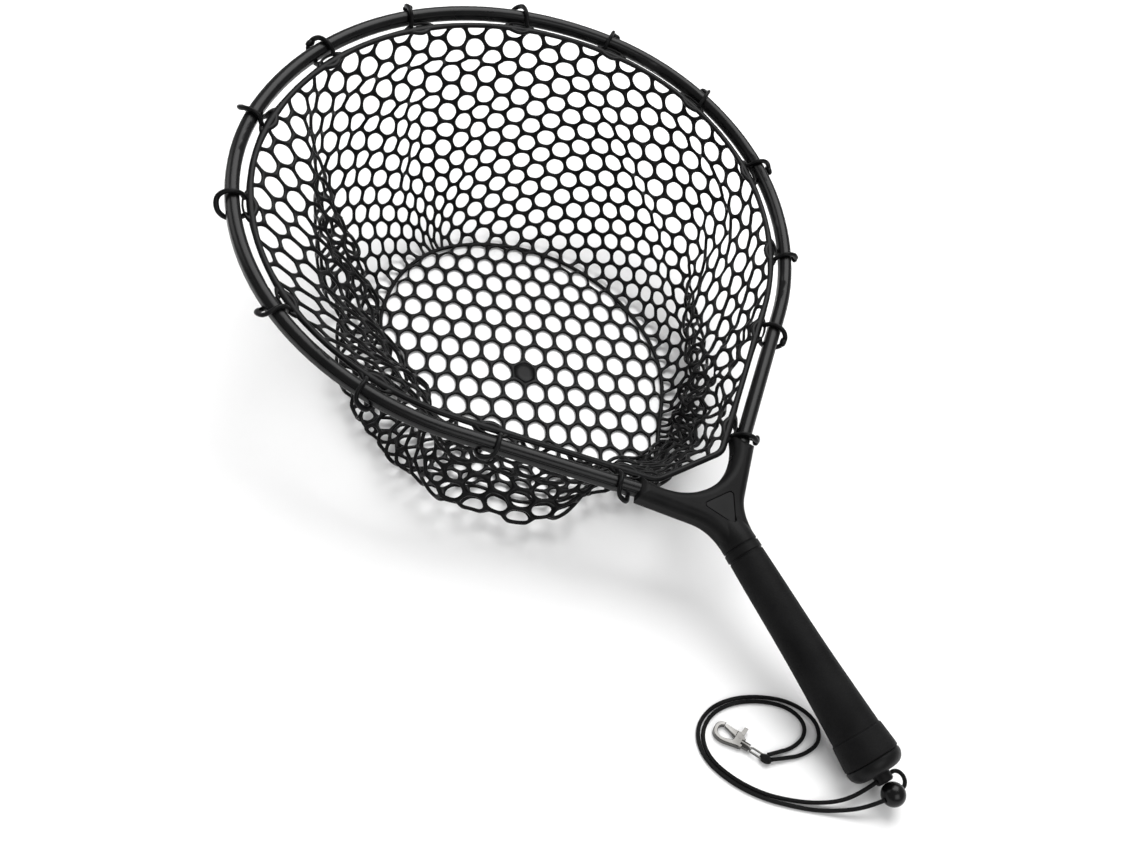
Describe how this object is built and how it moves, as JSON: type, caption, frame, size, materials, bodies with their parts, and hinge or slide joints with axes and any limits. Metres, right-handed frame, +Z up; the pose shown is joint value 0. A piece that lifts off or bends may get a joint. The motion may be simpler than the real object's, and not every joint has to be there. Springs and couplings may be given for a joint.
{
  "type": "landing net",
  "caption": "Landing net with a rounded tube hoop, moulded rubber mesh bag hung on loops, Y yoke, tapered rubber grip and a cord lanyard with a lobster clasp.",
  "frame": {"origin": "on the ground, under the middle of the net without its lanyard", "axes": "+X along the net from the hoop's tip to the grip's butt, +Y across the hoop, +Z up from the ground"},
  "size_m": [0.5787, 0.3934, 0.1703],
  "materials": {
    "hoop": "satin",
    "yoke": "matte",
    "badge": "satin",
    "screws": "satin",
    "core": "satin",
    "collar": "matte",
    "grip": "matte",
    "cap": "matte",
    "bag": "gloss",
    "cord": "matte",
    "ball": "satin",
    "clasp_metal": "polished",
    "spring": "satin"
  },
  "bodies": {
    "root": {"hoop_tube": "hoop", "yoke": "yoke", "yoke_badge": "badge", "socket_screws": "screws", "handle_core": "core", "neck_collar": "collar", "grip_sleeve": "grip", "grip_end_band": "grip", "end_cap": "cap", "bag_rim": "bag", "bag_wall": "bag", "bag_base": "bag", "hoop_loops": "bag", "lanyard_inner_strand": "cord", "lanyard_outer_strand": "cord", "lanyard_bend": "cord", "lanyard_knot": "cord", "stopper_ball": "ball", "swivel_eye": "clasp_metal"},
    "clasp": {"clasp_body": "clasp_metal", "lever_pin": "clasp_metal", "lever_spring": "spring"},
    "lever": {"clasp_lever": "clasp_metal"}
  },
  "joints": [
    {"name": "clasp_swivel", "type": "hinge", "parent": "root", "child": "clasp", "pos_m": [0.23415, -0.046, 0.0029], "axis": [-0.9233, -0.3824, -0.0349], "continuous": true},
    {"name": "lever_hinge", "type": "hinge", "parent": "clasp", "child": "lever", "pos_m": [0.21684, -0.05122, 0.00227], "axis": [-0.0322, -0.0134, 0.9994], "range_deg": [0, 20], "stiffness_Nm_per_rad": 0.004, "springref_deg": -17.19, "deforming": ["lever_spring"]}
  ]
}
